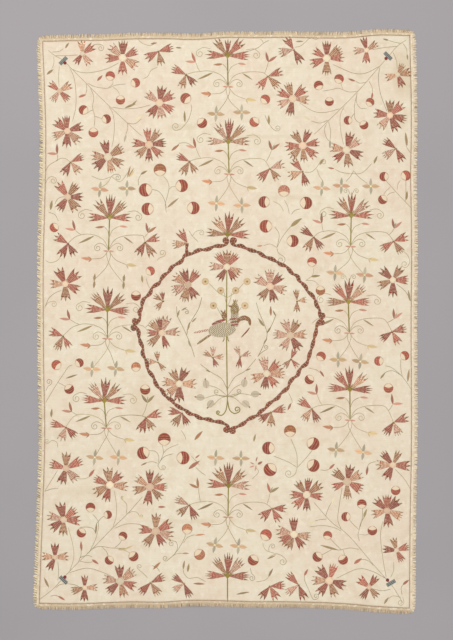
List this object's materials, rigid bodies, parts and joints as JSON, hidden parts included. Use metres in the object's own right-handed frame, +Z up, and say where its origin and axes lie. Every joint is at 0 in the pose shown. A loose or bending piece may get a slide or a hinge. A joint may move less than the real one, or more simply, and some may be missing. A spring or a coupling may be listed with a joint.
{
  "type": "embroidered bedspread",
  "caption": "Flat rectangular linen bedspread embroidered in coloured silk with carnations, a central medallion and fruiting sprays, edged on all sides with a short tufted fringe.",
  "frame": {"origin": "middle of the whole bedspread, fringe included, on the surface that it lies on", "axes": "+X to the right and +Y towards the head, in the plane of the cloth; +Z up, out of the embroidered face"},
  "size_m": [1.741, 2.6416, 0.0091],
  "materials": {
    "linen": "matt, plain weave, natural cream, aged",
    "fringe_silk": "matt to soft sheen, cream-yellow cut tufts on a woven heading",
    "embroidery_silk": "soft sheen, floss silk laid and couched, in madder, rose, salmon, tan and olive"
  },
  "bodies": {
    "root": {"ground_cloth": "linen", "fringe_head": "fringe_silk", "fringe_foot": "fringe_silk", "fringe_left": "fringe_silk", "fringe_right": "fringe_silk"}
  },
  "joints": []
}
